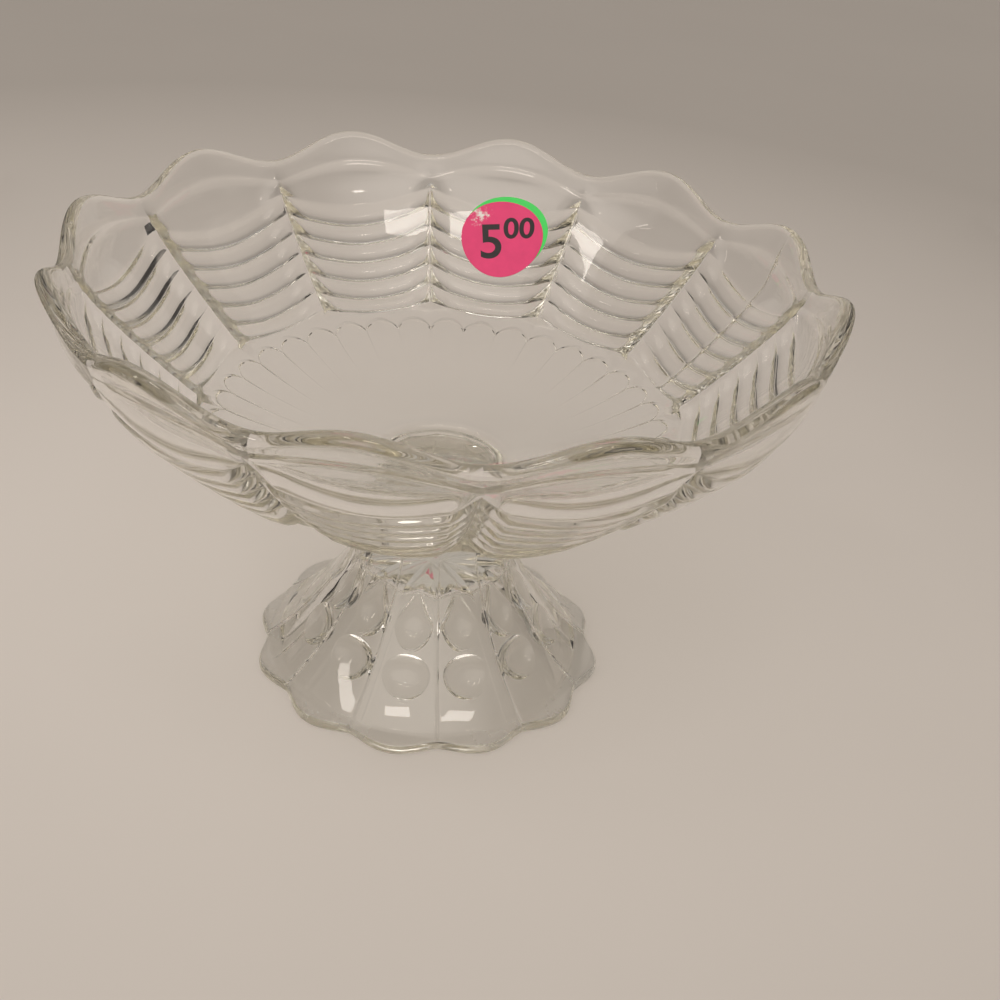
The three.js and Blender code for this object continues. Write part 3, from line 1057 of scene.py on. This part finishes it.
PINK_PAPER = label_paper("pink_paper", PINK_DYE, SCUFF_REACH)
GREEN_PAPER = label_paper("green_paper", GREEN_DYE, SMALL_SCUFF_REACH)
LABEL_BACK = label_paper("label_back", BARE_PAPER, SMALL_SCUFF_REACH)
print("materials", PINK_PAPER.name, GREEN_PAPER.name, LABEL_BACK.name)

# %% Label discs
BACK_FACING = -0.5


def disc_mesh(name, depth):
    turns = np.linspace(0, 2 * math.pi, LABEL_COLUMNS, endpoint=False)
    radii = np.linspace(0, LABEL_DIAMETER / 2, LABEL_ROWS + 1)[1:]
    rings = [(radius, depth) for radius in radii]
    rings += [(radius, depth + LABEL_THICKNESS) for radius in radii[::-1]]
    points = [(0, 0, depth)]
    for radius, lift in rings:
        points += [(radius * math.cos(turn), radius * math.sin(turn), lift) for turn in turns]
    points.append((0, 0, depth + LABEL_THICKNESS))
    faces = []
    for column in range(LABEL_COLUMNS):
        after = (column + 1) % LABEL_COLUMNS
        faces.append((0, 1 + after, 1 + column))
        for row in range(len(rings) - 1):
            low = 1 + row * LABEL_COLUMNS
            high = low + LABEL_COLUMNS
            faces.append((low + column, low + after, high + after, high + column))
        last = 1 + (len(rings) - 1) * LABEL_COLUMNS
        faces.append((len(points) - 1, last + column, last + after))
    mesh = bpy.data.meshes.new(name)
    mesh.from_pydata(points, [], faces)
    return mesh


def label_piece(name, material, depth, shift):
    mesh = disc_mesh(name, depth)
    mesh.materials.append(material)
    mesh.materials.append(LABEL_BACK)
    for face in mesh.polygons:
        face.material_index = int(face.normal.z < BACK_FACING)
    set_mesh_points(mesh, on_panel(mesh_points(mesh), shift))
    return add_object(name, mesh)


under_label = label_piece("green_price_label", GREEN_PAPER, GLUE_GAP, UNDER_LABEL_STEP)
top_depth = GLUE_GAP + LABEL_THICKNESS
top_label = label_piece("pink_price_label", PINK_PAPER, top_depth, (0, 0))
print(under_label.name, "and", top_label.name, "laid on the wall")

# %% [markdown]
# A number on the label
#
# A price label carries a stamped number. A plain round one is used here. Blender's built-in font is
# turned into a mesh, moved to its place on the flat label, and bent on to the wall by the same mapping
# as the paper, a hair's breadth proud of it, as ink is.

# %% Stamped number
INK_THICKNESS = 0.03
INK_SPREAD = 0.22
NUMBERS = [("5", 16.0, (-7.4, -6.0)), ("00", 9.5, (0.4, 0.4))]
NUMBER_TILT = math.radians(10)
INK_ROUGHNESS = 0.6
INK = (0.016, 0.012, 0.014, 1)
RUBBED_INK = (0.2, 0.02, 0.05, 1)
INK_SCUFF = 0.3


def ink_material():
    material, tree, shader = new_material("stamp_ink")
    shader.inputs["Roughness"].default_value = INK_ROUGHNESS
    place = add_node(tree, "ShaderNodeTexCoord")
    paper = add_node(tree, "ShaderNodeGroup")
    paper.node_tree = PAPER
    paper.inputs["Dye"].default_value = INK
    paper.inputs["Bare Paper"].default_value = RUBBED_INK
    paper.inputs["Scuff"].default_value = INK_SCUFF
    join(tree, place, "Object", paper, "Vector")
    join(tree, paper, "Color", shader, "Base Color")
    return material


def number_points(text, size, corner):
    curve = bpy.data.curves.new("number", "FONT")
    curve.body = text
    curve.size = size
    curve.offset = INK_SPREAD
    curve.extrude = INK_THICKNESS / 2
    writing = add_object("number", curve)
    evaluated = writing.evaluated_get(bpy.context.evaluated_depsgraph_get())
    mesh = bpy.data.meshes.new_from_object(evaluated)
    points = mesh_points(mesh) + np.array([*corner, 0])
    bpy.data.objects.remove(writing)
    return mesh, points


def stamp_numbers(label):
    label.data.materials.append(ink_material())
    for text, size, corner in NUMBERS:
        mesh, points = number_points(text, size, corner)
        cos, sin = math.cos(NUMBER_TILT), math.sin(NUMBER_TILT)
        flat = points[:, :2] @ np.array([(cos, sin), (-sin, cos)])
        depth = top_depth + LABEL_THICKNESS + points[:, 2]
        set_mesh_points(mesh, on_panel(np.column_stack([flat, depth])))
        mesh.materials.clear()
        for material in label.data.materials:
            mesh.materials.append(material)
        for face in mesh.polygons:
            face.material_index = len(mesh.materials) - 1
        stamp = add_object("stamp", mesh)
        with bpy.context.temp_override(active_object=label, selected_editable_objects=[label, stamp]):
            bpy.ops.object.join()


stamp_numbers(top_label)
labels = [(under_label, "under_label", "green_paper"), (top_label, "top_label", "pink_paper")]
for piece, node, slot in labels:
    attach(piece, "root")
    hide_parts(node)
print(top_label.name, len(top_label.data.polygons), "faces with its number")

# %% [markdown]
# The floor
#
# A wide, pale and dull floor carries the dish and fills the view. It could have one plain colour, but a
# faint cloudiness keeps it from looking empty. Light is painted into its colour too: a painted pool of
# light, palest round a point a little behind the foot, brightens the floor seen through the foot, and the
# colour turns to painted shade with distance. It lies a hair below the standing ring, because two surfaces
# in one place would flicker.

# %% Floor
# Painted light: the floor is the first colour near the middle point and fades to the second, a painted
# shade, over the fade length.
PAINTED_LIGHT_FLOOR_COLOR = (0.80, 0.755, 0.715, 1)
PAINTED_SHADE_FLOOR_COLOR = (0.43, 0.40, 0.371, 1)
FLOOR_ROUGHNESS = 0.7
FLOOR_CLOUD = (0.97, 1.03)
PAINTED_LIGHT_MIDDLE = (-0.03, 0.05, 0)
PAINTED_LIGHT_FADE_M = 0.55
FLOOR_RADIUS_M = 6.0
FLOOR_CORNERS = 64
FLOOR_DROP = 0.2


def floor_material():
    material, tree, shader = new_material("painted_floor")
    shader.inputs["Roughness"].default_value = FLOOR_ROUGHNESS
    place = add_node(tree, "ShaderNodeTexCoord")
    cloud = add_node(tree, "ShaderNodeTexNoise", Scale=6.0, Detail=4.0)
    shade = add_range(tree, result=FLOOR_CLOUD)
    paint = add_node(tree, "ShaderNodeMix", data_type="RGBA", blend_type="MULTIPLY")
    paint.inputs["Factor"].default_value = 1.0
    # Painted pool of light: the lit colour fades to painted shade with distance from the middle point.
    away = add_node(tree, "ShaderNodeVectorMath", operation="DISTANCE")
    away.inputs[1].default_value = PAINTED_LIGHT_MIDDLE
    painted_fade = add_range(tree, (0.0, PAINTED_LIGHT_FADE_M))
    painted_light_colour = add_node(tree, "ShaderNodeMix", data_type="RGBA")
    painted_light_colour.inputs["A"].default_value = PAINTED_LIGHT_FLOOR_COLOR
    painted_light_colour.inputs["B"].default_value = PAINTED_SHADE_FLOOR_COLOR
    join(tree, place, "Object", away, 0)
    join(tree, away, "Value", painted_fade, "Value")
    join(tree, painted_fade, "Result", painted_light_colour, "Factor")
    join(tree, painted_light_colour, "Result", paint, "A")
    join(tree, place, "Object", cloud, "Vector")
    join(tree, cloud, "Fac", shade, "Value")
    join(tree, shade, "Result", paint, "B")
    join(tree, paint, "Result", shader, "Base Color")
    return material


def make_floor():
    turns = np.linspace(0, 2 * math.pi, FLOOR_CORNERS, endpoint=False)
    rim = [(FLOOR_RADIUS_M * math.cos(turn), FLOOR_RADIUS_M * math.sin(turn)) for turn in turns]
    mesh = bpy.data.meshes.new("floor")
    mesh.from_pydata([(x, y, -FLOOR_DROP * MM) for x, y in rim], [], [tuple(range(len(rim)))])
    mesh.materials.append(floor_material())
    add_object("floor", mesh)


make_floor()
print("floor of", FLOOR_RADIUS_M, "m radius")

# %% [markdown]
# Lamps
#
# Clear glass is mostly a picture of what is around it, so the stage matters as much as the material.
# Five small lamps give the window-like highlights: two high ones inside the bowl, two lower ones and one
# at the side on the foot. Each is an area lamp turned towards the dish.

# %% Lamps
LIGHT_COLOR = (1.0, 0.925, 0.85)
LAMP_AIM = Vector((0, 0, 0.1))
LAMPS = [
    ("front_lamp", Vector((0.03, -0.445, 1.18)), (0.32, 0.085), 0.65),
    ("left_lamp", Vector((-0.485, -0.272, 1.13)), (0.24, 0.09), 0.56),
    ("low_left_lamp", Vector((-0.354, -0.66, 0.935)), (0.12, 0.09), 0.25),
    ("low_right_lamp", Vector((0.455, -0.638, 0.913)), (0.12, 0.09), 0.25),
    ("side_lamp", Vector((-0.99, -0.17, 0.72)), (0.07, 0.34), 0.5),
]


def make_lamp(name, place, size, power):
    light = bpy.data.lights.new(name, "AREA")
    light.shape = "RECTANGLE"
    light.size, light.size_y = size
    light.energy = power
    light.color = LIGHT_COLOR
    lamp = add_object(name, light)
    lamp.location = place
    lamp.rotation_euler = (LAMP_AIM - place).to_track_quat("-Z", "Y").to_euler()


for lamp in LAMPS:
    make_lamp(*lamp)
print(len(LAMPS), "lamps")

# %% [markdown]
# Dark cards
#
# Whoever photographs glass sets dark cards beside it, so that dark lines draw its edges. Two stand here.
# They throw no shadow and aren't seen directly. A view ray that was mirrored in the glass meets a whole
# card, and one that only passed through meets a soft round core, so that no hard dark shape shows from
# the other sides.

# %% Dark cards
FLAG_COLOR = (0.02, 0.02, 0.022, 1)
FLAGS = [
    ("left_flag", -0.2, (0.0, 0.4), (0.0, 0.5), (0.3, 0.03)),
    ("right_flag", 0.34, (-0.05, 0.4), (0.0, 0.4), (0.27, 0.04)),
]
FLAG_CORE = 0.04
FLAG_REACH = 0.11
FELT_SCALE = 40.0
MIRRORED_ONCE = 0.5


def flag_material(name, core):
    material, tree, shader = new_material(name)
    shader.inputs["Base Color"].default_value = FLAG_COLOR
    place = add_node(tree, "ShaderNodeTexCoord")
    felt = add_node(tree, "ShaderNodeTexNoise", Scale=FELT_SCALE)
    path = add_node(tree, "ShaderNodeLightPath")
    mirrored = add_node(tree, "ShaderNodeMath", operation="GREATER_THAN")
    mirrored.inputs[1].default_value = MIRRORED_ONCE
    clear = add_node(tree, "ShaderNodeBsdfTransparent")
    away = add_node(tree, "ShaderNodeVectorMath", operation="DISTANCE")
    away.inputs[1].default_value = core
    soft = add_range(tree, (FLAG_REACH, FLAG_CORE), interpolation="SMOOTHSTEP")
    either = add_node(tree, "ShaderNodeMath", operation="MAXIMUM")
    shown = add_node(tree, "ShaderNodeMixShader")
    join(tree, place, "Object", felt, "Vector")
    join(tree, felt, "Fac", shader, "Roughness")
    join(tree, place, "Object", away, 0)
    join(tree, away, "Value", soft, "Value")
    join(tree, path, "Glossy Depth", mirrored, 0)
    join(tree, mirrored, 0, either, 0)
    join(tree, soft, "Result", either, 1)
    join(tree, either, 0, shown, "Fac")
    join(tree, clear, "BSDF", shown, 1)
    join(tree, shader, "BSDF", shown, 2)
    join(tree, shown, "Shader", tree.nodes["Material Output"], "Surface")
    return material


def make_flag(name, across, depths, heights, core):
    corners = [(across, depth, height) for height in heights for depth in depths]
    mesh = bpy.data.meshes.new(name)
    mesh.from_pydata(corners, [], [(0, 1, 3, 2)])
    mesh.materials.append(flag_material(name, (across, *core)))
    flag = add_object(name, mesh)
    flag.visible_camera = False
    flag.visible_diffuse = False
    flag.visible_shadow = False


for flag in FLAGS:
    make_flag(*flag)
print(len(FLAGS), "dark cards")

# %% [markdown]
# Sky
#
# The sky is soft. It is dark in front, so that no milky reflection lies over the glass, pale behind, and
# has a broad glow high in front. Near the horizon it is one plain band, so that the background stays calm
# from every side. Glass needs many light bounces, or its thick places turn black.

# %% Sky
SKY_FRONT = 0.05
SKY_BACK = 0.45
SKY_TURN = 0.5
BACKDROP = 0.36
BACKDROP_TOP = 0.1
SKY_START = 0.25
GLOW_STRENGTH = 1.72
GLOW_START = 0.45
GLOW_WAY = Vector((-0.2, -0.8, 0.56)).normalized()
LIGHT_BOUNCES = 24


def make_sky():
    world = bpy.data.worlds.new("soft_sky")
    world.use_nodes = True
    tree = world.node_tree
    sky = tree.nodes["Background"]
    sky.inputs["Color"].default_value = (*LIGHT_COLOR, 1)
    way = add_node(tree, "ShaderNodeTexCoord")
    axes = add_node(tree, "ShaderNodeSeparateXYZ")
    walls = add_range(tree, (-SKY_TURN, SKY_TURN), (SKY_FRONT, SKY_BACK), "SMOOTHSTEP")
    towards = add_node(tree, "ShaderNodeVectorMath", operation="DOT_PRODUCT")
    towards.inputs[1].default_value = GLOW_WAY
    glow = add_range(tree, (GLOW_START, 1.0), (0.0, GLOW_STRENGTH), "SMOOTHSTEP")
    light = add_node(tree, "ShaderNodeMath", operation="ADD")
    height = add_range(tree, (BACKDROP_TOP, SKY_START), interpolation="SMOOTHSTEP")
    shown = add_node(tree, "ShaderNodeMix", A=BACKDROP)
    join(tree, way, "Generated", axes, "Vector")
    join(tree, axes, "Y", walls, "Value")
    join(tree, way, "Generated", towards, 0)
    join(tree, towards, "Value", glow, "Value")
    join(tree, walls, "Result", light, 0)
    join(tree, glow, "Result", light, 1)
    join(tree, axes, "Z", height, "Value")
    join(tree, height, "Result", shown, "Factor")
    join(tree, light, 0, shown, "B")
    join(tree, shown, "Result", sky, "Strength")
    bpy.context.scene.world = world


make_sky()
bpy.context.scene.view_settings.view_transform = "Standard"
cycles = bpy.context.scene.cycles
cycles.max_bounces = cycles.glossy_bounces = cycles.transmission_bounces = LIGHT_BOUNCES
print("sky set, with", LIGHT_BOUNCES, "light bounces")
